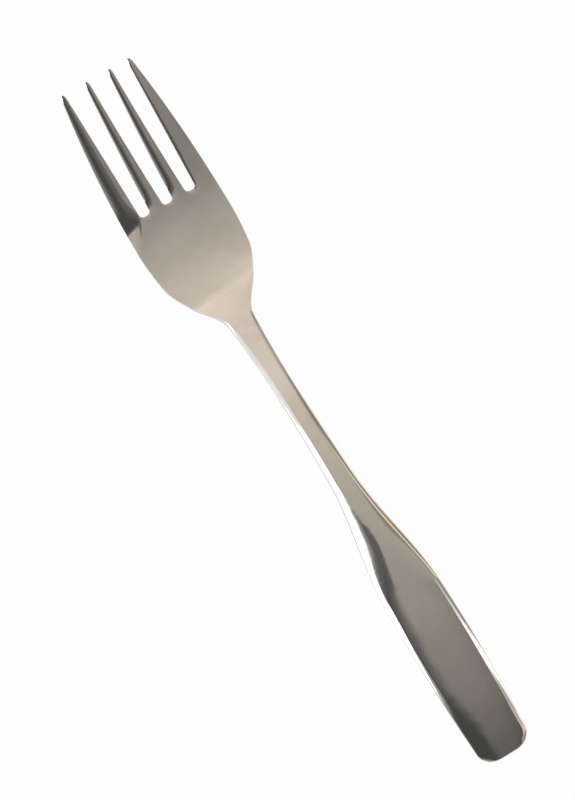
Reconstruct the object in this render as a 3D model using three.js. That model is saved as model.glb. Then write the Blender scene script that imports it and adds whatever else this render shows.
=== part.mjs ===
// Four-tine table fork, stamped from one stainless steel blank, lying with its hollow side up.
// Millimetres. +X runs from the handle's end to the tips, +Y is the fork's left, +Z is up off the table.
// The one stamping is divided into the zones that a cutler names, which meet face to face.
import * as THREE from 'three';

// Lengths, one after another from the handle's end to the tips
const GRIP_LENGTH = 30; // handle's end to its widest place
const FLANK_LENGTH = 12; // widest place to the shoulder
const TAPER_LENGTH = 33.5; // shoulder to the neck
const NECK_BACK_LENGTH = 23; // start of the neck to its waist
const NECK_FRONT_LENGTH = 21.1; // waist to the bowl
const HEEL_LENGTH = 9; // start of the bowl to its heel
const CHEEK_LENGTH = 7; // heel to the cheeks, where the bowl's sides turn forward
const HEAD_BACK_LENGTH = 10; // cheeks to the head's widest place
const BOWL_FRONT_LENGTH = 7.6; // widest place to the bottoms of the slots
const TINE_LENGTH = 33.8; // bottoms of the slots to the tips

// Widths of the outline
const HANDLE_END_WIDTH = 12.6;
const HANDLE_WIDTH = 14.9;
const SHOULDER_WIDTH = 14.5;
const NECK_START_WIDTH = 6.15;
const NECK_WAIST_WIDTH = 5.25;
const NECK_END_WIDTH = 6.95;
const HEEL_WIDTH = 17.8;
const CHEEK_WIDTH = 23.8;
const HEAD_WIDTH = 25.5;
const TIP_SPAN = 19.3; // over the outer sides of the outer tips
const HEAD_TAPER_POWER = 2; // how late the outer sides turn in towards the tips

// Rounded corners of the handle's end
const HANDLE_CORNER_LENGTH = 3.5;
const HANDLE_CORNER_DEPTH = 4.4;

// Slots and tines
const SLOT_WIDTH = 2.6;
const SLOT_CORNER_RADIUS = 0.9;
const INNER_TINE_WIDTH = 3.7;
const TIP_WIDTH = 1.15;
const INNER_TIP_SPAN = 7.45; // over the outer sides of the two inner tips

// Thickness of the steel
const HANDLE_END_THICKNESS = 2.2;
const SHOULDER_THICKNESS = 2.8;
const NECK_START_THICKNESS = 3.8;
const NECK_END_THICKNESS = 3.2;
const BOWL_THICKNESS = 2.3;
const TIP_THICKNESS = 1.3;

// Rounding of the long edges, measured inwards from the outline
const HANDLE_END_EDGE = 1;
const SHOULDER_EDGE = 1.2;
const TAPER_EDGE = 1.3;
const NECK_START_EDGE = 1.3;
const NECK_END_EDGE = 0.8;
const TIP_EDGE = 0.6;
const EDGE_LIMIT = 0.45; // largest share of the width that one edge's rounding takes

// Rounding of the handle's end and of the tips, seen from the side
const HANDLE_END_ROUNDING = 0.9;
const TIP_ROUNDING = 1;
const END_FLAT = 0.4; // share of the section left flat at a rounded end

// Side profile: heights of the back above the table
const HANDLE_END_DIP = 0.6; // how far the back's curve would pass under the table at the handle's end
const HANDLE_REST_LENGTH = 2; // flat under the handle, in front of the end's corners
const SHOULDER_HEIGHT = 3.5;
const CREST_HEIGHT = 3.9; // where the neck starts
const WAIST_HEIGHT = 2.85;
const BOWL_HEIGHT = 0.9; // where the bowl starts
const BOWL_REST_LENGTH = 6; // flat under the bowl
const BEND_BACK_LENGTH = 5; // from the front of that flat, where the head bends up, to the widest place
const BEND_LENGTH = 10; // over which the head bends up; the tines are straight after it
const TIP_HEIGHT = 10.9;

// Cross-section: the handle's front is crowned, most of all in the taper, and the head is dished outside the
// neck's width
const HANDLE_CROWN = 0.3;
const SHOULDER_CROWN = 0.44;
const TAPER_CROWN = 1;
const NECK_CROWN = 0.35;
const DISH_DEPTH = 0.3;

// How finely the curves are divided
const CORNER_STEPS = 7;
const BAR_STEPS = 9;
const HEEL_STEPS = 11;
const BEND_STEPS = 6;
const TINE_STEPS = 8;
const SMALL_ROUND_STEPS = 4;
const EDGE_STEPS = 6;

// Places along the fork, from the handle's end
const WIDEST = GRIP_LENGTH;
const SHOULDER = WIDEST + FLANK_LENGTH;
const NECK = SHOULDER + TAPER_LENGTH;
const WAIST = NECK + NECK_BACK_LENGTH;
const BOWL = WAIST + NECK_FRONT_LENGTH;
const HEEL = BOWL + HEEL_LENGTH;
const CHEEKS = HEEL + CHEEK_LENGTH;
const HEAD_WIDEST = CHEEKS + HEAD_BACK_LENGTH;
const SLOTS = HEAD_WIDEST + BOWL_FRONT_LENGTH;
const TIPS = SLOTS + TINE_LENGTH;
const MID_TAPER = SHOULDER + TAPER_LENGTH / 2;
const HANDLE_REST = HANDLE_CORNER_LENGTH + HANDLE_REST_LENGTH;
const BEND = HEAD_WIDEST - BEND_BACK_LENGTH;
const BOWL_REST = BEND - BOWL_REST_LENGTH;

// Smooth curve through [x, value] points that never overshoots them; its end stretches are parabolas.
function graded(points) {
  const last = points.length - 1;
  const step = (i) => points[i + 1][0] - points[i][0];
  const secant = (i) => (points[i + 1][1] - points[i][1]) / step(i);
  const slopes = points.map((_, i) => {
    if (i === 0 || i === last || secant(i - 1) * secant(i) <= 0) return 0;
    const before = 2 * step(i) + step(i - 1);
    const after = step(i) + 2 * step(i - 1);
    return (before + after) / (before / secant(i - 1) + after / secant(i));
  });
  slopes[0] = 2 * secant(0) - slopes[1];
  slopes[last] = 2 * secant(last - 1) - slopes[last - 1];
  return (x) => {
    const at = THREE.MathUtils.clamp(x, points[0][0], points[last][0]);
    let i = 0;
    while (i < last - 1 && at > points[i + 1][0]) i += 1;
    const s = (at - points[i][0]) / step(i);
    const rise = points[i][1] + (points[i + 1][1] - points[i][1]) * s * s * (3 - 2 * s);
    const bend = slopes[i] * s * (1 - s) ** 2 - slopes[i + 1] * s * s * (1 - s);
    return rise + bend * step(i);
  };
}

const outlineToWidest = graded([
  [0, HANDLE_END_WIDTH / 2],
  [WIDEST, HANDLE_WIDTH / 2],
  [SHOULDER, SHOULDER_WIDTH / 2],
  [NECK, NECK_START_WIDTH / 2],
  [WAIST, NECK_WAIST_WIDTH / 2],
  [BOWL, NECK_END_WIDTH / 2],
  [HEEL, HEEL_WIDTH / 2],
  [CHEEKS, CHEEK_WIDTH / 2],
  [HEAD_WIDEST, HEAD_WIDTH / 2],
]);

const thickness = graded([
  [0, HANDLE_END_THICKNESS],
  [SHOULDER, SHOULDER_THICKNESS],
  [NECK, NECK_START_THICKNESS],
  [BOWL, NECK_END_THICKNESS],
  [HEAD_WIDEST, BOWL_THICKNESS],
  [TIPS, TIP_THICKNESS],
]);

const edgeRounding = graded([
  [0, HANDLE_END_EDGE],
  [SHOULDER, SHOULDER_EDGE],
  [MID_TAPER, TAPER_EDGE],
  [NECK, NECK_START_EDGE],
  [BOWL, NECK_END_EDGE],
  [TIPS, TIP_EDGE],
]);

const curveToBend = graded([
  [0, -HANDLE_END_DIP],
  [HANDLE_REST, 0],
  [SHOULDER, SHOULDER_HEIGHT],
  [NECK, CREST_HEIGHT],
  [WAIST, WAIST_HEIGHT],
  [BOWL, BOWL_HEIGHT],
  [BOWL_REST, 0],
  [BEND, 0],
]);

// Height of the back's curve: it bends up under the head, and then follows the straight tines.
function curveHeight(x) {
  const slope = TIP_HEIGHT / (TIPS - BEND - BEND_LENGTH / 2);
  const bent = THREE.MathUtils.clamp(x - BEND, 0, BEND_LENGTH);
  const straight = Math.max(0, x - BEND - BEND_LENGTH);
  return curveToBend(x) + slope * (bent ** 2 / (2 * BEND_LENGTH) + straight);
}

const crown = graded([
  [0, HANDLE_CROWN],
  [WIDEST, HANDLE_CROWN],
  [SHOULDER, SHOULDER_CROWN],
  [MID_TAPER, TAPER_CROWN],
  [NECK, NECK_CROWN],
  [BOWL, 0],
]);

// Depth of a rounded corner at a distance past the end that it rounds.
function cornerDepth(distance, length, depth) {
  const left = Math.max(0, 1 - distance / length);
  return depth * (1 - Math.sqrt(1 - left ** 2));
}

// Half-width of the whole outline: the handle's end has rounded corners, and the head narrows to the tips.
function halfWidth(x) {
  const forward = Math.max(0, x - HEAD_WIDEST) / (TIPS - HEAD_WIDEST);
  const narrowing = ((HEAD_WIDTH - TIP_SPAN) / 2) * forward ** HEAD_TAPER_POWER;
  return outlineToWidest(x) - narrowing - cornerDepth(x, HANDLE_CORNER_LENGTH, HANDLE_CORNER_DEPTH);
}

// Share of the full section that is left at a distance from a rounded end.
function endShare(distance, rounding) {
  const left = Math.max(0, 1 - distance / rounding);
  return Math.sqrt(1 - (1 - END_FLAT ** 2) * left ** 2);
}

// How far the dished head rises at y, outside the flat strip as wide as the neck.
function dishRise(y) {
  const flat = NECK_END_WIDTH / 2;
  return DISH_DEPTH * (Math.max(0, Math.abs(y) - flat) / (HEAD_WIDTH / 2 - flat)) ** 2;
}

// What differs from zone to zone: the columns across the back and front, the dish and the rounded end.
const BAR_ZONE = {
  backColumns: 1,
  frontColumns: 6,
  rise: () => 0,
  share: (x) => endShare(x, HANDLE_END_ROUNDING),
};
const BOWL_ZONE = { backColumns: 9, frontColumns: 9, rise: dishRise, share: () => 1 };
const TINE_ZONE = {
  backColumns: 3,
  frontColumns: 3,
  rise: dishRise,
  share: (x) => endShare(TIPS - x, TIP_ROUNDING),
};

// Ring of [y, z] points round the steel at x, between its right and left edges:
// along the back, up the rounded left edge, along the front and down the rounded right edge.
// Where the back's curve would pass under the table, the back is flat on it.
function section(x, [right, left], zone) {
  const width = left - right;
  const middle = (left + right) / 2;
  const rounding = Math.min(edgeRounding(x), EDGE_LIMIT * width);
  const lowest = Math.max(0, curveHeight(x));
  const full = curveHeight(x) + thickness(x) - lowest;
  const thick = full * zone.share(x);
  const back = (y) => lowest + (full - thick) / 2 + zone.rise(y);
  const front = (y) => back(y) + thick - crown(x) * ((2 * (y - middle)) / width) ** 2;
  const points = [];
  const addRun = (from, to, columns, height) => {
    for (let i = 0; i <= columns; i += 1) {
      const y = THREE.MathUtils.lerp(from, to, i / columns);
      points.push([y, height(y)]);
    }
  };
  const addEdge = (y, side) => {
    const centre = (back(y) + front(y)) / 2;
    const radius = (front(y) - back(y)) / 2;
    for (let i = 1; i < EDGE_STEPS; i += 1) {
      const angle = (i / EDGE_STEPS - 0.5) * Math.PI;
      points.push([y + side * rounding * Math.cos(angle), centre + side * radius * Math.sin(angle)]);
    }
  };
  addRun(right + rounding, left - rounding, zone.backColumns, back);
  addEdge(left - rounding, 1);
  addRun(left - rounding, right + rounding, zone.frontColumns, front);
  addEdge(right + rounding, -1);
  return points;
}

// Closed solid through the sections at the given places, with flat end faces.
function loft(places, edgesAt, zone) {
  const rings = places.map((x) => section(x, edgesAt(x), zone));
  const count = rings[0].length;
  const positions = rings.flatMap((ring, i) => ring.flatMap(([y, z]) => [places[i], y, z]));
  const index = [];
  for (let i = 0; i < rings.length - 1; i += 1) {
    for (let j = 0; j < count; j += 1) {
      const here = i * count + j;
      const next = i * count + ((j + 1) % count);
      index.push(here, next, next + count, here, next + count, here + count);
    }
  }
  const capOf = (ring) => THREE.ShapeUtils.triangulateShape(ring.map(([y, z]) => new THREE.Vector2(y, z)), []);
  const lastRing = (rings.length - 1) * count;
  capOf(rings[0]).forEach(([a, b, c]) => index.push(a, c, b));
  capOf(rings.at(-1)).forEach(([a, b, c]) => index.push(lastRing + a, lastRing + b, lastRing + c));
  const geometry = new THREE.BufferGeometry();
  geometry.setAttribute('position', new THREE.Float32BufferAttribute(positions, 3));
  geometry.setIndex(index);
  geometry.computeVertexNormals();
  return geometry;
}

// Even places after from, up to and with to.
function spread(from, to, steps) {
  return Array.from({ length: steps }, (_, i) => THREE.MathUtils.lerp(from, to, (i + 1) / steps));
}

// Places that crowd towards the start of a rounding, from its start up to and with its end.
function crowded(start, end, steps) {
  return Array.from({ length: steps + 1 }, (_, i) => {
    return THREE.MathUtils.lerp(end, start, Math.cos(((i / steps) * Math.PI) / 2));
  });
}

const bothEdges = (x) => [-halfWidth(x), halfWidth(x)];

function handle() {
  const places = [
    ...crowded(0, HANDLE_CORNER_LENGTH, CORNER_STEPS),
    HANDLE_REST,
    ...spread(HANDLE_REST, SHOULDER, BAR_STEPS),
    ...spread(SHOULDER, NECK, BAR_STEPS),
  ];
  return loft(places, bothEdges, BAR_ZONE);
}

function neck() {
  return loft([NECK, ...spread(NECK, BOWL, BAR_STEPS)], bothEdges, BAR_ZONE);
}

function bowl() {
  const places = [
    BOWL,
    ...spread(BOWL, BOWL_REST, HEEL_STEPS),
    BEND,
    ...spread(BEND, SLOTS, BEND_STEPS),
  ];
  return loft(places, bothEdges, BOWL_ZONE);
}

// Side of a tine at x: a straight line from its root to its tip.
function straightSide(x, root, tip) {
  return THREE.MathUtils.mapLinear(x, SLOTS, TIPS, root, tip);
}

// Edges of the inner and outer tine on the left; each slot has rounded corners at its bottom.
function innerEdges(x) {
  const corner = cornerDepth(x - SLOTS, SLOT_CORNER_RADIUS, SLOT_CORNER_RADIUS);
  const root = SLOT_WIDTH / 2;
  const tip = INNER_TIP_SPAN / 2;
  const right = straightSide(x, root, tip - TIP_WIDTH);
  const left = straightSide(x, root + INNER_TINE_WIDTH, tip);
  return [right - corner, left + corner];
}

function outerEdges(x) {
  const corner = cornerDepth(x - SLOTS, SLOT_CORNER_RADIUS, SLOT_CORNER_RADIUS);
  const root = SLOT_WIDTH / 2 + INNER_TINE_WIDTH + SLOT_WIDTH;
  const right = straightSide(x, root, TIP_SPAN / 2 - TIP_WIDTH);
  return [right - corner, halfWidth(x)];
}

// One tine; its tip is rounded in width as it is in thickness.
function tine(edgesOnLeft, side) {
  const places = [
    ...crowded(SLOTS, SLOTS + SLOT_CORNER_RADIUS, SMALL_ROUND_STEPS),
    ...spread(SLOTS + SLOT_CORNER_RADIUS, TIPS - TIP_ROUNDING, TINE_STEPS),
    ...crowded(TIPS, TIPS - TIP_ROUNDING, SMALL_ROUND_STEPS).reverse().slice(1),
  ];
  const edgesAt = (x) => {
    const edges = edgesOnLeft(x).map((y) => side * y);
    const [right, left] = side > 0 ? edges : edges.reverse();
    const cut = ((1 - TINE_ZONE.share(x)) * (left - right)) / 2;
    return [right + cut, left - cut];
  };
  return loft(places, edgesAt, TINE_ZONE);
}

function polishedSteel() {
  return new THREE.MeshStandardMaterial({ color: 0xb9b2a8, roughness: 0.24, metalness: 1 });
}

const zones = {
  handle: handle(),
  neck: neck(),
  bowl: bowl(),
  tine_outer_left: tine(outerEdges, 1),
  tine_inner_left: tine(innerEdges, 1),
  tine_inner_right: tine(innerEdges, -1),
  tine_outer_right: tine(outerEdges, -1),
};

// The part's origin is under the middle of the fork's length.
const blank = new THREE.Group();
blank.position.x = -TIPS / 2;
for (const [name, geometry] of Object.entries(zones)) {
  const mesh = new THREE.Mesh(geometry, polishedSteel());
  mesh.name = name;
  blank.add(mesh);
}

const fork = new THREE.Group();
fork.add(blank);

export default fork;
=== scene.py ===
# Looks of a one-piece polished steel table fork: its seamless skin, the steel, a pale floor,
# the light of a room and the camera.
import math

import bpy
import numpy as np
from mathutils import Matrix, Vector


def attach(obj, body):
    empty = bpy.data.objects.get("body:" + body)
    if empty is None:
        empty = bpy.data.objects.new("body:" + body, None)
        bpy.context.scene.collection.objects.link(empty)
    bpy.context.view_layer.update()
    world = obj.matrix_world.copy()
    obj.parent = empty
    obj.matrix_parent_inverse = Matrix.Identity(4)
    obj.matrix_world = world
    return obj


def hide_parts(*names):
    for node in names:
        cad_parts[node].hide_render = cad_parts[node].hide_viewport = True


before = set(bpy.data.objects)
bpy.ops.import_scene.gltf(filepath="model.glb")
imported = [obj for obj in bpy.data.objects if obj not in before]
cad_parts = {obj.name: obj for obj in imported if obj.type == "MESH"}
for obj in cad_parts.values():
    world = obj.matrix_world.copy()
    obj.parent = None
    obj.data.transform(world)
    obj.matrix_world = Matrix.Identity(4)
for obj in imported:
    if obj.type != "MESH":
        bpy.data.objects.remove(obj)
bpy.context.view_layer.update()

MM = 0.001  # the fork's sizes are in millimetres, as in its solids

# Lengths, one after another from the handle's end to the tips
GRIP_LENGTH = 30
FLANK_LENGTH = 12
TAPER_LENGTH = 33.5
NECK_BACK_LENGTH = 23
NECK_FRONT_LENGTH = 21.1
HEEL_LENGTH = 9
CHEEK_LENGTH = 7
HEAD_BACK_LENGTH = 10
BOWL_FRONT_LENGTH = 7.6
TINE_LENGTH = 33.8

# Widths of the outline
HANDLE_END_WIDTH = 12.6
HANDLE_WIDTH = 14.9
SHOULDER_WIDTH = 14.5
NECK_START_WIDTH = 6.15
NECK_WAIST_WIDTH = 5.25
NECK_END_WIDTH = 6.95
HEEL_WIDTH = 17.8
CHEEK_WIDTH = 23.8
HEAD_WIDTH = 25.5
TIP_SPAN = 19.3
HEAD_TAPER_POWER = 2
HANDLE_CORNER_LENGTH = 3.5
HANDLE_CORNER_DEPTH = 4.4

# Slots and tines
SLOT_WIDTH = 2.6
SLOT_CORNER_RADIUS = 0.9
INNER_TINE_WIDTH = 3.7
TIP_WIDTH = 1.15
INNER_TIP_SPAN = 7.45
TIP_ROUNDING = 1
INNER_TINE_LEAN = 0.65  # how far the tips of the used fork's inner tines have bent towards its right

# Thickness of the steel
HANDLE_END_THICKNESS = 2.2
SHOULDER_THICKNESS = 2.8
NECK_START_THICKNESS = 3.8
NECK_END_THICKNESS = 3.2
BOWL_THICKNESS = 2.3
TIP_THICKNESS = 1.3

# Rounding of the front's edges, measured inwards from the outline
HANDLE_END_EDGE = 0.2
HANDLE_SIDE_EDGE = 1.2
SHOULDER_EDGE = 1.35
TAPER_EDGE = 1.2
NECK_START_EDGE = 1.3
NECK_END_EDGE = 1.2
HEEL_EDGE = 0.22
CHEEK_EDGE = 0.07
TIP_EDGE = 0.07
SIDE_EDGE_START = 9  # from the handle's end to where the rounding of its sides is full
HEEL_EDGE_REACH = 3  # to both sides of the neck's end, where its round edge turns sharp
EDGE_LIMIT = 0.36  # largest share of the width that one edge's rounding takes

# Rounding of the back's edges, which is broader
HANDLE_BACK_EDGE = 1.2
NECK_BACK_EDGE = 1.8
HEAD_BACK_EDGE = 1.0
TIP_BACK_EDGE = 0.5

# How far below the front the outline lies, as a share of the thickness
HANDLE_RIM = 0.25
HEAD_RIM = 0.12

# Side profile: how steeply the front climbs towards the tips, in degrees
END_CLIMB = 10.3
GRIP_CLIMB = 7.9
WIDEST_CLIMB = 5.8
SHOULDER_CLIMB = 4.7
TAPER_CLIMB = 2.6
NECK_CLIMB = -0.8
WAIST_CLIMB = -5.0
BOWL_CLIMB = -7.2
CREASE_CLIMB = 4.0  # how much the climb changes at the crease between the neck and the bowl
HEAD_CLIMB = 5.9
TINE_CLIMB = 12.8
TIP_CLIMB = 13.7
CREASE_LENGTH = 0.8
CREASE_SLANT = 0.12  # how much farther forward the crease lies per length to the right
TINE_BEND_LENGTH = 5  # past the bottoms of the slots, where the head is fully bent up

# Cross-section
HANDLE_CROWN = 0.3
SHOULDER_CROWN = 0.44
TAPER_CROWN = 1.0
NECK_CROWN = 0.35
INNER_TINE_TURN = 10  # how far the inner tines' fronts turn down at their sides, in degrees
OUTER_TINE_TURN = 4  # the same for the right outer tine
ROLLED_TINE_TURN = 6.5  # the same for the left outer tine
TURN_START = 1.2  # before the bottoms of the slots, where the tines' fronts start to be rounded
INNER_TURN_LENGTH = 4.5  # past the bottoms of the slots, where the inner tines are fully rounded
OUTER_TURN_LENGTH = 12  # the same for the right outer tine
ROLLED_TURN_LENGTH = 6  # the same for the left outer tine
INNER_TINE_RIDGE = -0.4  # where the inner tines are highest, as a share of their half-width to the left
ROLLED_TINE_RIDGE = 0.15  # the same for the left outer tine
BEVEL_TURN = 16  # how far the right outer tine's front turns down along its slot, in degrees
BEVEL_WIDTH = 0.5
ROLL = 6.5  # how far use has turned the left outer tine outwards from the head, in degrees
ROLL_START = 7.3  # from the middle of the head to where the turn starts
ROLL_WIDTH = 0.9  # width in which the turn is made
ROLL_SLANT = 0.9  # how fast the turn runs out towards the head's rim, before the bottoms of the slots
ROLL_LAG = 0.33  # how much later it starts to run out, per length towards the rim

# How finely the skin is divided
EDGE_LINES = 8  # lines of the mesh in the rounding of an edge
EDGE_STOP = 1.3  # one more line just inside it, as a multiple of the rounding
TINE_LINES = 7  # lines across the flat of a tine
SLOT_LINES = 5  # lines across the bottom of a slot
BAR_STEP = 1.0  # between rows of the mesh in the handle and the neck
HEEL_STEP = 0.5  # between rows in the back of the head
TINE_STEP = 0.7  # between rows in the front of the head and the tines
PROFILE_PLACES = 2000  # places at which the climb is added up to the front's height
CORNER_PLACES = 60  # places at which the handle's rounded corner is looked up
LEAST_TINE_WIDTH = 1  # taken for an outer tine where the head is too narrow to hold it
EDGE_REACH = 3.6  # how far along the fork the nearest stretch of the outline is looked for

# Steel: its colours and its marks
# A scale is in marks per metre, and a depth in metres. Limits are the values of a mark's noise
# where it starts to show and where it shows fully.
STEEL = (0.71, 0.67, 0.62)
STAINED = (0.66, 0.62, 0.57)
MOTTLED = (0.52, 0.48, 0.46)
STAIN_SCALE = 60.0
STAIN_DETAIL = 3.0
STAIN_LIMITS = (0.35, 0.7)
MOTTLE_SCALE = 420.0
MOTTLE_DETAIL = 4.0
MOTTLE_LIMITS = (0.35, 0.75)
MOTTLE_SHARE = 0.12
SMEAR_SCALE = (60.0, 240.0, 240.0)  # wiping marks, longer along the fork
SMEAR_DETAIL = 4.0
SMEAR_LIMITS = (0.4, 0.75)
SMEAR_ROUGHNESS = (0.04, 0.085)
SCRATCH_SCALE = (90.0, 5200.0, 5200.0)
SCRATCH_SHARE = 0.6  # of the fine relief; the grain has the rest
GRAIN_SCALE = 2600.0
GRAIN_SHARE = 0.4
GRAIN_LIMITS = (0.3, 0.8)
GRAIN_ROUGHNESS = 0.03
PIT_SCALE = 420.0
PIT_LIMITS = (0.09, 0.04)
PIT_ROUGHNESS = 0.12
RELIEF_DEPTH = 0.00005
RELIEF_STRENGTH = 0.05
WAVE_SCALE = 230.0  # waviness that polishing has left
WAVE_DETAIL = 1.0
WAVE_DEPTH = 0.00002

# Floor
FLOOR_SIZE = 4.0
FLOOR_DROP = 0.00005  # just under the fork, so that the two faces don't lie in one plane
FLOOR_WHITE = 0.95  # how much of the floor shows as plain white; the rest takes light and shadow
FLOOR_DULL = (0.94, 0.94, 0.94)
FLOOR_PALE = (0.97, 0.97, 0.97)
PAPER_SCALE = 8.0
WHITE = (1.0, 1.0, 1.0)
BLACK = (0.0, 0.0, 0.0)

# Light of the room, by direction
# Angles are in degrees from straight up: along the fork towards its tips, to its left (side), and
# lean, which is how far a direction leaves the plane across the fork. A pair is a soft border.
OVERHEAD = [
    (-25, (0.12, 0.115, 0.11)),
    (-19, (0.167, 0.162, 0.156)),
    (-16.5, (0.21, 0.206, 0.195)),
    (-13.5, (0.29, 0.282, 0.268)),
    (-10.3, (0.312, 0.303, 0.289)),
    (-7.8, (0.365, 0.346, 0.329)),
    (-5, (0.42, 0.402, 0.38)),
    (-1, (0.475, 0.467, 0.445)),
    (4, (0.55, 0.53, 0.48)),
    (8.5, (0.60, 0.565, 0.505)),
    (16.5, (0.735, 0.68, 0.61)),
    (19, (0.80, 0.735, 0.65)),
    (21, (0.91, 0.84, 0.77)),
    (24.5, (0.95, 0.87, 0.79)),
    (25.7, (0.86, 0.79, 0.73)),
    (26.5, (1.03, 0.935, 0.845)),
    (26.9, (0.97, 0.88, 0.79)),
    (27.1, (0.97, 0.88, 0.79)),
    (27.35, (1.08, 0.98, 0.875)),
    (45, (0.80, 0.74, 0.68)),
]
DIM_SHARE = 0.2  # how much darker the ceiling is on the right, towards the handle's end
DIM_SIDE = (-10, -20)
DIM_ALONG = (-1.5, -4)

# Dark shape of whoever looks down at the fork
FIGURE = (0.155, 0.155, 0.158)
FIGURE_SIDE = (-2.6, 0.9)
NEAR_SHIFT = -2.1  # how far the figure's border steps to the right, towards the handle's end
NEAR_ALONG = (-13, -16)
BAY_SHIFT = 1.9  # how far the border falls back to the left in one stretch
BAY_START = (-7, -3)
BAY_END = (0.2, -1.6)
FAR_EDGE = 1.6  # past this angle along the fork, the border slants to the left
FAR_SLOPE = 4.5
FIGURE_DARK = (0.08, 0.084, 0.085)  # its darker parts, towards the handle's end and on the left
DARK_ALONG = (-10.5, -14.5)
DARK_SIDE = (3, 7.5)
DARK_END = (0.8, -1)
BESIDE = (0.40, 0.41, 0.42)  # wall on the figure's left
BESIDE_SIDE = (10, 18)
BESIDE_LEAN = (-14.5, -12)

# Window on the left, part of it behind a thin curtain
WINDOW = (2.3, 2.45, 2.6)
WINDOW_SIDE = (11, 17.5)
WINDOW_LEAN = (-11, -9)
SILL_EDGE = -4  # before this angle along the fork, the window's border slants
SILL_SLOPE = 3
VEIL = (1.07, 1.13, 1.17)
VEIL_LEAN = (13.5, 16.5)
ARM_SHIFT = 8.8  # how far the figure's arm covers the window in one stretch
ARM_START = (-2.5, 0.5)
ARM_END = (6.5, 3.5)

# Warm wall on the right, with a lamp's glint
WARM_WALL = (0.35, 0.31, 0.255)
WARM_ALONG = (-6, -2)
WARM_SIDE = (-30, -36)
WARM_FAR_ALONG = (10, 16)  # past this, the wall starts higher
WARM_FAR_SIDE = (-10, -45)
WARM_PALE = (0.60, 0.57, 0.55)
PALE_LEAN = (16.5, 19.5)
GLINT = (1.05, 0.95, 0.79)
GLINT_ALONG = (19, 15)
GLINT_START = (49, 55)
GLINT_END = (104, 96)
GLINT_REST = 0.65  # share of the glint that is left past its end
GLINT_SLOPE = 1.2

# Wall that the handle's right edge shows, by lean
RIGHT_WALL = [
    (-30, (0.35, 0.32, 0.28)),
    (-24, (0.95, 0.84, 0.65)),
    (-17, (0.95, 0.84, 0.65)),
    (-15.6, (0.53, 0.49, 0.44)),
    (-14, (0.57, 0.57, 0.58)),
    (-12.6, (0.57, 0.57, 0.58)),
    (-11.6, (1.7, 1.7, 1.68)),
    (-7.6, (1.7, 1.7, 1.68)),
    (-6, (1.25, 1.25, 1.22)),
    (-3.5, (0.9, 0.9, 0.87)),
    (0, (0.6, 0.56, 0.52)),
    (3, (0.4, 0.36, 0.31)),
]
RIGHT_SIDE = (-19, -23)
RIGHT_LEAN = (3, 1)
RIGHT_EDGE = -6  # past this angle along the fork, the wall's border slants
RIGHT_SLOPE = 2
LOW_WALL = (0.4, 0.39, 0.38)  # low part of that wall
LOW_SIDE = (-38, -46)
LOW_LEAN = (-6.6, -4.8)

# Low behind the handle's end the room is lighter again
BEHIND_HIGH = (0.36, 0.35, 0.33)
BEHIND_LEAN = (-26, -38)
BEHIND_LOW = (0.8, 0.77, 0.72)
BEHIND_LOW_LEAN = (-32, -65)

# Camera: it looks down at the fork, a little from the handle's end and from the fork's left
TARGET = (3.909, 0.584, 3.0)  # what it looks at, in millimetres
CAMERA_BACK = 10  # degrees from straight above, towards the handle's end
CAMERA_LEFT = 7  # degrees from straight above, towards the fork's left
CAMERA_DISTANCE = 0.6  # in metres
PICTURE_TURN = -31.3447  # degrees from the fork's length to what points up in the picture
LENS = 114.33
SENSOR = 36  # along the picture's long side

# Places along the fork, from the handle's end
WIDEST = GRIP_LENGTH
SHOULDER = WIDEST + FLANK_LENGTH
NECK = SHOULDER + TAPER_LENGTH
WAIST = NECK + NECK_BACK_LENGTH
BOWL = WAIST + NECK_FRONT_LENGTH
HEEL = BOWL + HEEL_LENGTH
CHEEKS = HEEL + CHEEK_LENGTH
HEAD_WIDEST = CHEEKS + HEAD_BACK_LENGTH
SLOTS = HEAD_WIDEST + BOWL_FRONT_LENGTH
TIPS = SLOTS + TINE_LENGTH
MID_TAPER = SHOULDER + TAPER_LENGTH / 2

# Where a rounded corner of the outline is cut between a row and a line of the mesh, at half its turn
HALF_TURN = 1 - math.cos(math.pi / 4)
HANDLE_ROW = HANDLE_CORNER_LENGTH * HALF_TURN
SLOT_ROW = SLOTS + SLOT_CORNER_RADIUS * HALF_TURN
TIP_ROW = TIPS - TIP_ROUNDING * HALF_TURN

# Lines of the mesh in an edge, as shares of its rounding: crowded at the outline, and one inside it
ROUND = 1 - np.cos(np.linspace(0, math.pi / 2, EDGE_LINES + 1))
EDGE = np.append(ROUND, EDGE_STOP)

# Turn, length of the turn, ridge and bevel of the tines' fronts, from the fork's right to its left
INNER_FRONT = (INNER_TINE_TURN, INNER_TURN_LENGTH, INNER_TINE_RIDGE, 0)
OUTER_FRONT = (OUTER_TINE_TURN, OUTER_TURN_LENGTH, 0, BEVEL_TURN)
ROLLED_FRONT = (ROLLED_TINE_TURN, ROLLED_TURN_LENGTH, ROLLED_TINE_RIDGE, 0)
TINE_FRONTS = [OUTER_FRONT, INNER_FRONT, INNER_FRONT, ROLLED_FRONT]
TINES = len(TINE_FRONTS)
SLOT_COUNT = TINES - 1
TINE_COUNT = 2 * len(EDGE) + TINE_LINES
LINE_COUNT = TINES * TINE_COUNT + SLOT_COUNT * SLOT_LINES
TINE_STARTS = [k * (TINE_COUNT + SLOT_LINES) for k in range(TINES)]
TINE_MARGIN = TIP_WIDTH / 4  # how far beside a tine's sides a point still counts as its own


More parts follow.
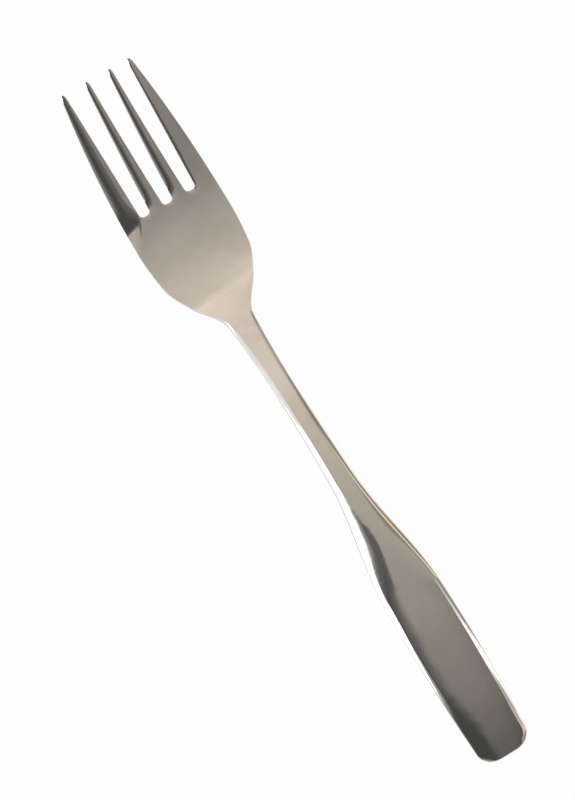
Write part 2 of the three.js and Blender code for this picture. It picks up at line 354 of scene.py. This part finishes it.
def graded(points):
    """Smooth curve through (x, value) points. It never overshoots them, and it ends in parabolas."""
    xs, values = (np.array(column, float) for column in zip(*points))
    steps = np.diff(xs)
    secants = np.diff(values) / steps
    slopes = np.zeros(len(xs))
    for i in range(1, len(xs) - 1):
        if secants[i - 1] * secants[i] > 0:
            before = 2 * steps[i] + steps[i - 1]
            after = steps[i] + 2 * steps[i - 1]
            slopes[i] = (before + after) / (before / secants[i - 1] + after / secants[i])
    slopes[0] = 2 * secants[0] - slopes[1]
    slopes[-1] = 2 * secants[-1] - slopes[-2]

    def curve(x):
        at = np.clip(x, xs[0], xs[-1])
        i = np.clip(np.searchsorted(xs, at) - 1, 0, len(steps) - 1)
        s = (at - xs[i]) / steps[i]
        rise = values[i] + (values[i + 1] - values[i]) * s * s * (3 - 2 * s)
        bend = slopes[i] * s * (1 - s) ** 2 - slopes[i + 1] * s * s * (1 - s)
        return rise + bend * steps[i]

    return curve


def smooth(x, start, end):
    """0 before start, 1 after end, and a smooth rise between them."""
    s = np.clip((x - start) / (end - start), 0, 1)
    return s * s * (3 - 2 * s)


outline_to_widest = graded([
    (0, HANDLE_END_WIDTH / 2),
    (WIDEST, HANDLE_WIDTH / 2),
    (SHOULDER, SHOULDER_WIDTH / 2),
    (NECK, NECK_START_WIDTH / 2),
    (WAIST, NECK_WAIST_WIDTH / 2),
    (BOWL, NECK_END_WIDTH / 2),
    (HEEL, HEEL_WIDTH / 2),
    (CHEEKS, CHEEK_WIDTH / 2),
    (HEAD_WIDEST, HEAD_WIDTH / 2),
])
thickness = graded([
    (0, HANDLE_END_THICKNESS),
    (SHOULDER, SHOULDER_THICKNESS),
    (NECK, NECK_START_THICKNESS),
    (BOWL, NECK_END_THICKNESS),
    (HEAD_WIDEST, BOWL_THICKNESS),
    (TIPS, TIP_THICKNESS),
])
edge_rounding = graded([
    (0, HANDLE_END_EDGE),
    (SIDE_EDGE_START, HANDLE_SIDE_EDGE),
    (SHOULDER, SHOULDER_EDGE),
    (MID_TAPER, TAPER_EDGE),
    (NECK, NECK_START_EDGE),
    (BOWL - HEEL_EDGE_REACH, NECK_END_EDGE),
    (BOWL + HEEL_EDGE_REACH, HEEL_EDGE),
    (CHEEKS, CHEEK_EDGE),
    (TIPS, TIP_EDGE),
])
back_rounding = graded([
    (0, HANDLE_BACK_EDGE),
    (NECK, NECK_BACK_EDGE),
    (BOWL, NECK_BACK_EDGE),
    (HEAD_WIDEST, HEAD_BACK_EDGE),
    (TIPS, TIP_BACK_EDGE),
])
rim_share = graded([
    (0, HANDLE_RIM),
    (BOWL, HANDLE_RIM),
    (CHEEKS, HEAD_RIM),
    (TIPS, HEAD_RIM),
])
climb_without_crease = graded([
    (0, END_CLIMB),
    (GRIP_LENGTH / 2, GRIP_CLIMB),
    (WIDEST, WIDEST_CLIMB),
    (SHOULDER, SHOULDER_CLIMB),
    (MID_TAPER, TAPER_CLIMB),
    (NECK, NECK_CLIMB),
    (WAIST, WAIST_CLIMB),
    (BOWL, BOWL_CLIMB),
    (HEEL, BOWL_CLIMB),
    (HEAD_WIDEST, HEAD_CLIMB - CREASE_CLIMB),
    (SLOTS + TINE_BEND_LENGTH, TINE_CLIMB - CREASE_CLIMB),
    (TIPS, TIP_CLIMB - CREASE_CLIMB),
])
crown = graded([
    (0, HANDLE_CROWN),
    (WIDEST, HANDLE_CROWN),
    (SHOULDER, SHOULDER_CROWN),
    (MID_TAPER, TAPER_CROWN),
    (NECK, NECK_CROWN),
    (BOWL, 0),
])


def front_curve():
    """Height of the front along the middle, with the bowl's back on the table."""
    places = np.linspace(0, TIPS, PROFILE_PLACES)
    climb = climb_without_crease(places)
    climb = climb + CREASE_CLIMB * smooth(places, HEEL - CREASE_LENGTH / 2, HEEL + CREASE_LENGTH / 2)
    rises = np.diff(places) * np.tan(np.radians((climb[1:] + climb[:-1]) / 2))
    heights = np.concatenate([[0], np.cumsum(rises)])
    in_bowl = places > BOWL
    heights = heights - (heights - thickness(places))[in_bowl].min()
    return lambda x: np.interp(x, places, heights)


front_height = front_curve()


def corner_depth(distance, length, depth):
    """Depth of a rounded corner at a distance past the end that it rounds."""
    left = np.clip(1 - distance / length, 0, 1)
    return depth * (1 - np.sqrt(1 - left ** 2))


def half_width(x):
    """Half-width of the outline, with the handle's rounded corners and the head's narrowing."""
    forward = np.maximum(0, x - HEAD_WIDEST) / (TIPS - HEAD_WIDEST)
    narrowing = (HEAD_WIDTH - TIP_SPAN) / 2 * forward ** HEAD_TAPER_POWER
    return outline_to_widest(x) - narrowing - corner_depth(x, HANDLE_CORNER_LENGTH, HANDLE_CORNER_DEPTH)


def between(start, end, share):
    return start + (end - start) * share


def middle_and_half(right, left):
    return (right + left) / 2, (left - right) / 2


def tine_sides(x):
    """Right and left edges of the four tines at x, from the fork's right to its left."""
    along = np.clip((x - SLOTS) / TINE_LENGTH, 0, 1)
    flare = corner_depth(x - SLOTS, SLOT_CORNER_RADIUS, SLOT_CORNER_RADIUS)
    lean = INNER_TINE_LEAN * along ** 2
    far_start = SLOT_WIDTH / 2 + INNER_TINE_WIDTH
    near = between(SLOT_WIDTH / 2, INNER_TIP_SPAN / 2 - TIP_WIDTH, along) - flare
    far = between(far_start, INNER_TIP_SPAN / 2, along) + flare
    outer = between(far_start + SLOT_WIDTH, TIP_SPAN / 2 - TIP_WIDTH, along) - flare
    edge = half_width(x)
    sides = [(-edge, -outer), (-far - lean, -near - lean), (near - lean, far - lean), (outer, edge)]
    past = np.clip((x - TIPS + TIP_ROUNDING) / TIP_ROUNDING, 0, 1)
    narrow = np.sqrt(1 - past ** 2)
    rounded = []
    for right, left in sides:
        middle, half = middle_and_half(right, left)
        rounded.append((middle - half * narrow, middle + half * narrow))
    return rounded


def lines_between(right, left, rounding, count):
    """Lines of the mesh across the steel, crowded in the rounding of both edges."""
    outer = rounding * EDGE
    inner = np.linspace(right + outer[-1], left - outer[-1], count + 2)[1:-1]
    return np.concatenate([right + outer, inner, (left - outer)[::-1]])


def rounding_at(x, width):
    return np.minimum(edge_rounding(x), EDGE_LIMIT * width)


def roll_drop(x, y):
    """How far the left outer tine and the head's corner at it lie lower, turned outwards by use."""
    outside = np.maximum(0, y - ROLL_START)
    past = np.maximum(0, outside - ROLL_SLANT * np.maximum(0, SLOTS - x - ROLL_LAG * outside))
    turning = np.minimum(past, ROLL_WIDTH)
    return math.tan(math.radians(ROLL)) * (turning ** 2 / (2 * ROLL_WIDTH) + past - turning)


def tine_drop(k, x, y):
    """How far the front of a tine lies lower at its sides than along its ridge."""
    turn, length, ridge, bevel = TINE_FRONTS[k]
    middle, half = middle_and_half(y[0], y[-1])
    start = SLOT_ROW - TURN_START
    rounded = smooth(x, start, SLOT_ROW + length) * half / 2 * math.tan(math.radians(turn))
    bevelled = smooth(x, start, SLOT_ROW) / (2 * BEVEL_WIDTH) * math.tan(math.radians(bevel))
    past = np.maximum(0, y - y[-1] + BEVEL_WIDTH)
    return rounded * ((y - middle) / half - ridge) ** 2 + bevelled * past ** 2


def tine_lines(x):
    return [lines_between(r, l, rounding_at(x, l - r), TINE_LINES) for r, l in tine_sides(x)]


def bar_row(x):
    """y of the mesh's lines before the slots: even in the bar, gathered for the tines in the head."""
    edge = half_width(x)
    even = lines_between(-edge, edge, rounding_at(x, 2 * edge), LINE_COUNT - 2 * len(EDGE))
    sides = tine_sides(SLOT_ROW)
    sides[0] = (-edge, sides[0][1])
    sides[-1] = (sides[-1][0], edge)
    gathered = []
    for k, (right, left) in enumerate(sides):
        width = max(left - right, LEAST_TINE_WIDTH)
        gathered.append(lines_between(right, left, rounding_at(x, width), TINE_LINES))
        if k < SLOT_COUNT:
            gathered.append(np.linspace(left, sides[k + 1][0], SLOT_LINES + 2)[1:-1])
    return between(even, np.concatenate(gathered), smooth(x, HEEL, HEAD_WIDEST))


def end_place(y):
    """Place of the handle's end at y, on its rounded corners."""
    places = np.linspace(0, HANDLE_ROW, CORNER_PLACES)
    return np.interp(np.abs(y), half_width(places), places)


def slot_place(y, middle):
    """Place of a slot's bottom at y, on its rounded corners."""
    past = np.clip(np.abs(y - middle) - SLOT_WIDTH / 2 + SLOT_CORNER_RADIUS, 0, SLOT_CORNER_RADIUS)
    return SLOTS + SLOT_CORNER_RADIUS - np.sqrt(SLOT_CORNER_RADIUS ** 2 - past ** 2)


class Plan:
    """The mesh seen from above: rows of points, drops of the front at them, and quads between rows."""

    def __init__(self):
        self.points, self.quads, self.drops, self.count = [], [], [], 0

    def row(self, x, y, drop):
        ids = np.arange(self.count, self.count + len(y))
        self.count += len(y)
        self.points.append(np.stack([x, y], 1))
        self.drops.append(drop)
        return ids

    def join(self, before, after):
        self.quads.append(np.stack([before[:-1], after[:-1], after[1:], before[1:]], 1))


def places_between(start, end, step):
    return np.linspace(start, end, max(2, round((end - start) / step) + 1))


def bar_places():
    """Rows from the handle's end to the slots, crowded at both ends."""
    first = HANDLE_ROW + HANDLE_END_EDGE * EDGE
    last = SLOT_ROW - edge_rounding(SLOTS) * EDGE[::-1]
    return np.concatenate([
        first[:-1],
        places_between(first[-1], BOWL, BAR_STEP)[:-1],
        places_between(BOWL, CHEEKS, HEEL_STEP)[:-1],
        places_between(CHEEKS, last[0], TINE_STEP)[:-1],
        last,
    ])


def tine_places():
    """Rows from the slots to the tips, crowded in the slots' corners and at the tips."""
    root = SLOT_ROW + (SLOTS + SLOT_CORNER_RADIUS - SLOT_ROW) * (1 - ROUND[::-1])
    last = TIP_ROW - TIP_EDGE * EDGE[::-1]
    return np.concatenate([root[1:-1], places_between(root[-1], last[0], TINE_STEP)[:-1], last])


def add_bar(plan):
    """Rows of the handle, the neck and the head up to the slots. Returns the last one."""
    sides = tine_sides(SLOT_ROW)
    tines = [slice(start, start + TINE_COUNT) for start in TINE_STARTS]
    before = None
    for x in bar_places():
        y = bar_row(x)
        at_end = np.maximum(0, 1 - (x - HANDLE_ROW) / HANDLE_CORNER_LENGTH) ** 2
        place = x + at_end * (end_place(y * half_width(HANDLE_ROW) / half_width(x)) - HANDLE_ROW)
        at_slots = np.maximum(0, 1 - (SLOT_ROW - x) / SLOT_WIDTH) ** 2
        drop = np.zeros(len(y))
        for k, lines in enumerate(tines):
            drop[lines] = tine_drop(k, x, y[lines])
        for k in range(SLOT_COUNT):
            right, left = tines[k].stop, tines[k + 1].start
            middle = (sides[k][1] + sides[k + 1][0]) / 2
            place[right:left] += at_slots * (slot_place(y[right:left], middle) - SLOT_ROW)
            drop[right:left] = np.linspace(drop[right - 1], drop[left], SLOT_LINES + 2)[1:-1]
        ids = plan.row(place, y, drop)
        if before is not None:
            plan.join(before, ids)
        before = ids
    return before


def add_tines(plan, before):
    """Rows of the four tines, from the last row of the head to the rounded tips."""
    last = [before[start:start + TINE_COUNT] for start in TINE_STARTS]
    for x in tine_places():
        at_tip = np.maximum(0, 1 - (TIP_ROW - x) / TIP_ROUNDING) ** 2
        for k, y in enumerate(tine_lines(x)):
            middle, half = middle_and_half(y[0], y[-1])
            across = (y - middle) / half
            round_tip = np.sqrt(1 - across ** 2 / 2) - math.sqrt(0.5)
            ids = plan.row(x + at_tip * TIP_ROUNDING * round_tip, y, tine_drop(k, x, y))
            plan.join(last[k], ids)
            last[k] = ids


def outline_edges(quads):
    """Edges that belong to one quad only, which are the fork's outline."""
    edges = np.sort(np.concatenate([quads[:, [i, (i + 1) % 4]] for i in range(4)]), axis=1)
    found, uses = np.unique(edges, axis=0, return_counts=True)
    return found[uses == 1]


def distance_to(points, starts, ends):
    """Distance from each point to the nearest of the straight stretches."""
    along = ends - starts
    offset = points[:, None] - starts
    share = np.clip((offset * along).sum(-1) / (along ** 2).sum(-1), 0, 1)
    return np.linalg.norm(offset - share[..., None] * along, axis=-1).min(axis=1)


def distance_inside(rows, outline):
    """Distance of each point from the outline."""
    points = np.concatenate(rows)
    starts, ends = points[outline[:, 0]], points[outline[:, 1]]
    middles = (starts[:, 0] + ends[:, 0]) / 2
    found = []
    for row in rows:
        near = np.abs(middles - row[:, 0].mean()) < EDGE_REACH
        found.append(distance_to(row, starts[near], ends[near]))
    inside = np.concatenate(found)
    inside[outline.ravel()] = 0
    return inside


def own_width(x, y):
    """Width of the bar or the head at each point, and of its tine past the bottoms of the slots."""
    edge = half_width(x)
    width = np.where(x > SLOT_ROW, 2 * edge / TINES, 2 * edge)
    for right, left in tine_sides(np.maximum(x, SLOT_ROW)):
        own = (x > SLOT_ROW) & (y >= right - TINE_MARGIN) & (y <= left + TINE_MARGIN)
        width = np.where(own, np.maximum(left - right, TIP_WIDTH), width)
    return width


def swell(inside, rounding):
    """Share of its full height that a rounded edge has reached at a distance inside the outline."""
    return np.sqrt(1 - (1 - np.minimum(1, inside / rounding)) ** 2)


def skin_mesh(name):
    """Closed skin of the whole fork: its front and back meet in rounded edges along the outline."""
    plan = Plan()
    add_tines(plan, add_bar(plan))
    points = np.concatenate(plan.points)
    quads = np.concatenate(plan.quads)
    outline = outline_edges(quads)
    inside = distance_inside(plan.points, outline)
    x, y = points.T
    width = own_width(x, y)
    slant = CREASE_SLANT * smooth(x, BOWL, HEEL) * (1 - smooth(x, HEEL, CHEEKS))
    middle = front_height(x + slant * y) - roll_drop(x, y)
    back = np.maximum(0, middle - thickness(x))
    front = middle - crown(x) * (y / outline_to_widest(x)) ** 2 - np.concatenate(plan.drops)
    rim = front - rim_share(x) * (front - back)
    upper = rim + (front - rim) * swell(inside, rounding_at(x, width))
    lower = rim - (rim - back) * swell(inside, np.minimum(back_rounding(x), EDGE_LIMIT * width))
    own_back = np.ones(len(points), bool)
    own_back[outline.ravel()] = False
    upper = np.stack([x - TIPS / 2, y, upper], 1)
    lower = np.stack([x - TIPS / 2, y, lower], 1)[own_back]
    lower_ids = np.arange(len(points))
    lower_ids[own_back] = len(points) + np.arange(own_back.sum())
    faces = np.concatenate([quads, lower_ids[quads][:, ::-1]])
    mesh = bpy.data.meshes.new(name)
    mesh.from_pydata((np.concatenate([upper, lower]) * MM).tolist(), [], faces.tolist())
    mesh.shade_smooth()
    mesh.validate()
    return mesh


def add_object(name, mesh, material):
    made = bpy.data.objects.new(name, mesh)
    bpy.context.scene.collection.objects.link(made)
    mesh.materials.append(material)
    return made


def colour(red, green, blue):
    return (red, green, blue, 1.0)


class Graph:
    """Short ways to add nodes to a material's or the world's node tree."""

    MIX_INPUTS = (0, 6, 7)  # sockets of a colour mix: the share and the two colours
    MIX_OUTPUT = 2

    def __init__(self, tree):
        self.nodes, self.links = tree.nodes, tree.links
        self.nodes.clear()

    def put(self, socket, value):
        if isinstance(value, bpy.types.NodeSocket):
            self.links.new(value, socket)
        else:
            socket.default_value = value

    def add(self, kind, inputs=None, **settings):
        node = self.nodes.new(kind)
        for name, value in settings.items():
            setattr(node, name, value)
        for name, value in (inputs or {}).items():
            self.put(node.inputs[name], value)
        return node

    def math(self, operation, *values):
        node = self.add("ShaderNodeMath", operation=operation)
        for socket, value in zip(node.inputs, values):
            self.put(socket, value)
        return node.outputs[0]

    def times(self, first, second):
        return self.math("MULTIPLY", first, second)

    def ramp(self, value, low, high, start=0.0, end=1.0):
        """start where the value is low, end where it is high, and a smooth change between."""
        inputs = {"Value": value, "From Min": low, "From Max": high, "To Min": start, "To Max": end}
        node = self.add("ShaderNodeMapRange", inputs, interpolation_type="SMOOTHSTEP")
        return node.outputs["Result"]

    def mix(self, share, first, second):
        node = self.add("ShaderNodeMix", data_type="RGBA")
        for index, value in zip(self.MIX_INPUTS, (share, first, second)):
            self.put(node.inputs[index], value)
        return node.outputs[self.MIX_OUTPUT]

    def scale(self, value, stops):
        """Colour that changes with the value, through (value, colour) stops."""
        low, high = stops[0][0], stops[-1][0]
        share = self.math("DIVIDE", self.math("SUBTRACT", value, low), high - low)
        node = self.add("ShaderNodeValToRGB", {"Fac": share})
        made = node.color_ramp.elements
        made[0].color, made[1].color = colour(*stops[0][1]), colour(*stops[-1][1])
        for place, shade in stops[1:-1]:
            made.new((place - low) / (high - low)).color = colour(*shade)
        return node.outputs["Color"]

    def noise(self, where, scale, detail=2.0):
        inputs = {"Vector": where, "Scale": scale, "Detail": detail}
        return self.add("ShaderNodeTexNoise", inputs).outputs["Fac"]

    def stretched(self, where, scale):
        inputs = {"Vector": where, "Scale": scale}
        return self.add("ShaderNodeMapping", inputs).outputs["Vector"]


def steel_material():
    """Polished stainless steel: warm grey, with wiping marks, fine scratches and faint stains."""
    material = bpy.data.materials.new("polished_steel")
    material.use_nodes = True
    g = Graph(material.node_tree)
    where = g.add("ShaderNodeTexCoord").outputs["Object"]
    stain = g.noise(where, STAIN_SCALE, STAIN_DETAIL)
    mottle = g.noise(where, MOTTLE_SCALE, MOTTLE_DETAIL)
    smear = g.noise(g.stretched(where, SMEAR_SCALE), 1.0, SMEAR_DETAIL)
    scratches = g.noise(g.stretched(where, SCRATCH_SCALE), 1.0)
    grain = g.noise(where, GRAIN_SCALE)
    pits = g.add("ShaderNodeTexVoronoi", {"Vector": where, "Scale": PIT_SCALE}).outputs["Distance"]
    base = g.mix(g.ramp(stain, *STAIN_LIMITS), colour(*STEEL), colour(*STAINED))
    base = g.mix(g.ramp(mottle, *MOTTLE_LIMITS, 0.0, MOTTLE_SHARE), base, colour(*MOTTLED))
    rough = g.ramp(smear, *SMEAR_LIMITS, *SMEAR_ROUGHNESS)
    rough = g.math("ADD", rough, g.ramp(grain, *GRAIN_LIMITS, 0.0, GRAIN_ROUGHNESS))
    rough = g.math("ADD", rough, g.ramp(pits, *PIT_LIMITS, 0.0, PIT_ROUGHNESS))
    relief = g.math("ADD", g.times(scratches, SCRATCH_SHARE), g.times(grain, GRAIN_SHARE))
    inputs = {"Strength": RELIEF_STRENGTH, "Distance": RELIEF_DEPTH, "Height": relief}
    bump = g.add("ShaderNodeBump", inputs).outputs["Normal"]
    waves = g.noise(where, WAVE_SCALE, WAVE_DETAIL)
    inputs = {"Strength": 1.0, "Distance": WAVE_DEPTH, "Height": waves, "Normal": bump}
    bump = g.add("ShaderNodeBump", inputs).outputs["Normal"]
    inputs = {"Base Color": base, "Metallic": 1.0, "Roughness": rough, "Normal": bump}
    shader = g.add("ShaderNodeBsdfPrincipled", inputs)
    output = g.add("ShaderNodeOutputMaterial")
    g.links.new(shader.outputs["BSDF"], output.inputs["Surface"])
    return material


def seen_ray(g):
    """1 for the camera and for what metal or glass shows, 0 for light on its way."""
    path = g.add("ShaderNodeLightPath").outputs
    seen = g.math("MAXIMUM", path["Is Camera Ray"], path["Is Glossy Ray"])
    return g.math("MAXIMUM", seen, path["Is Transmission Ray"])


def floor_material():
    material = bpy.data.materials.new("pale_floor")
    material.use_nodes = True
    g = Graph(material.node_tree)
    share = g.times(seen_ray(g), FLOOR_WHITE)
    paper = g.noise(g.add("ShaderNodeTexCoord").outputs["Object"], PAPER_SCALE)
    tint = g.mix(paper, colour(*FLOOR_DULL), colour(*FLOOR_PALE))
    lit = g.add("ShaderNodeBsdfDiffuse", {"Color": tint})
    white = g.add("ShaderNodeEmission", {"Color": colour(*WHITE)})
    both = g.add("ShaderNodeMixShader", {"Fac": share})
    g.links.new(lit.outputs[0], both.inputs[1])
    g.links.new(white.outputs[0], both.inputs[2])
    output = g.add("ShaderNodeOutputMaterial")
    g.links.new(both.outputs[0], output.inputs["Surface"])
    return material


def floor_mesh():
    half = FLOOR_SIZE / 2
    mesh = bpy.data.meshes.new("floor")
    corners = [(-half, -half), (half, -half), (half, half), (-half, half)]
    mesh.from_pydata([(x, y, -FLOOR_DROP) for x, y in corners], [], [(0, 1, 2, 3)])
    return mesh


def room_light(world):
    world.use_nodes = True
    g = Graph(world.node_tree)
    where = g.add("ShaderNodeTexCoord").outputs["Generated"]
    axis = g.add("ShaderNodeSeparateXYZ", {"Vector": where}).outputs
    along = g.math("DEGREES", g.math("ARCTAN2", axis["X"], axis["Z"]))
    side = g.math("DEGREES", g.math("ARCTAN2", axis["Y"], axis["Z"]))
    lean = g.math("DEGREES", g.math("ARCSINE", axis["X"]))

    def slanted(edge, slope, kind):
        return g.times(g.math(kind, g.math("SUBTRACT", along, edge), 0.0), slope)

    # Ceiling
    light = g.scale(along, OVERHEAD)
    dim = g.times(g.ramp(side, *DIM_SIDE, 0.0, DIM_SHARE), g.ramp(along, *DIM_ALONG))
    light = g.mix(dim, light, colour(*BLACK))

    # Figure, with its border and the wall beside it
    near = g.ramp(along, *NEAR_ALONG, 0.0, NEAR_SHIFT)
    border = g.math("ADD", near, slanted(FAR_EDGE, FAR_SLOPE, "MAXIMUM"))
    bay = g.times(g.ramp(along, *BAY_START, 0.0, BAY_SHIFT), g.ramp(along, *BAY_END))
    border = g.math("ADD", border, bay)
    dark = g.times(g.ramp(side, *DARK_SIDE), g.ramp(along, *DARK_END))
    dark = g.math("MAXIMUM", g.ramp(along, *DARK_ALONG), dark)
    figure = g.mix(dark, colour(*FIGURE), colour(*FIGURE_DARK))
    beside = g.times(g.ramp(side, *BESIDE_SIDE), g.ramp(lean, *BESIDE_LEAN))
    figure = g.mix(beside, figure, colour(*BESIDE))
    light = g.mix(g.ramp(g.math("SUBTRACT", side, border), *FIGURE_SIDE), light, figure)

    # Window, with the figure's arm in front of it
    arm = g.times(g.ramp(along, *ARM_START, 0.0, ARM_SHIFT), g.ramp(along, *ARM_END))
    inside = g.math("SUBTRACT", g.math("ADD", side, slanted(SILL_EDGE, SILL_SLOPE, "MINIMUM")), arm)
    window = g.times(g.ramp(lean, *WINDOW_LEAN), g.ramp(inside, *WINDOW_SIDE))
    pane = g.mix(g.ramp(lean, *VEIL_LEAN), colour(*WINDOW), colour(*VEIL))
    light = g.mix(window, light, pane)

    # Warm wall and its glint
    borders = zip(WARM_SIDE, WARM_FAR_SIDE)
    starts = [g.ramp(along, *WARM_FAR_ALONG, here, far) for here, far in borders]
    lit_right = g.ramp(along, *WARM_ALONG)
    warm = g.mix(g.ramp(lean, *PALE_LEAN), colour(*WARM_WALL), colour(*WARM_PALE))
    light = g.mix(g.times(g.ramp(side, *starts), lit_right), light, warm)
    past = g.math("SUBTRACT", slanted(0.0, GLINT_SLOPE, "MAXIMUM"), side)
    glint = g.times(g.ramp(past, *GLINT_START), g.ramp(past, *GLINT_END, GLINT_REST, 1.0))
    glint = g.times(glint, g.ramp(along, *GLINT_ALONG))
    light = g.mix(g.times(glint, lit_right), light, colour(*GLINT))

    # Wall on the right
    low = g.times(g.ramp(side, *LOW_SIDE), g.ramp(lean, *LOW_LEAN))
    wall = g.mix(low, g.scale(lean, RIGHT_WALL), colour(*LOW_WALL))
    inside = g.math("ADD", side, slanted(RIGHT_EDGE, RIGHT_SLOPE, "MAXIMUM"))
    light = g.mix(g.times(g.ramp(inside, *RIGHT_SIDE), g.ramp(lean, *RIGHT_LEAN)), light, wall)

    # Low behind the handle's end
    behind = g.mix(g.ramp(lean, *BEHIND_LOW_LEAN), colour(*BEHIND_HIGH), colour(*BEHIND_LOW))
    light = g.mix(g.ramp(lean, *BEHIND_LEAN), light, behind)

    # The camera itself sees a white room
    path = g.add("ShaderNodeLightPath").outputs
    light = g.mix(path["Is Camera Ray"], light, colour(*WHITE))
    background = g.add("ShaderNodeBackground", {"Color": light})
    output = g.add("ShaderNodeOutputWorld")
    g.links.new(background.outputs[0], output.inputs["Surface"])


def add_camera():
    data = bpy.data.cameras.new("camera")
    data.lens = LENS
    data.sensor_width = SENSOR
    made = bpy.data.objects.new("camera", data)
    bpy.context.scene.collection.objects.link(made)
    back = math.tan(math.radians(CAMERA_BACK))
    left = math.tan(math.radians(CAMERA_LEFT))
    towards = Vector((-back, left, 1)).normalized()
    turn = math.radians(PICTURE_TURN)
    right = Vector((math.cos(turn), math.sin(turn), 0)).cross(towards).normalized()
    up = towards.cross(right)
    turned = Matrix((right, up, towards)).transposed().to_4x4()
    place = Vector(TARGET) * MM + towards * CAMERA_DISTANCE
    made.matrix_world = Matrix.Translation(place) @ turned
    bpy.context.scene.camera = made


fork = add_object("fork_steel", skin_mesh("fork_steel"), steel_material())
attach(fork, "root")
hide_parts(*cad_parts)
floor = add_object("floor", floor_mesh(), floor_material())
scene = bpy.context.scene
scene.view_settings.view_transform = "Standard"
if scene.world is None:
    scene.world = bpy.data.worlds.new("room")
room_light(scene.world)
add_camera()
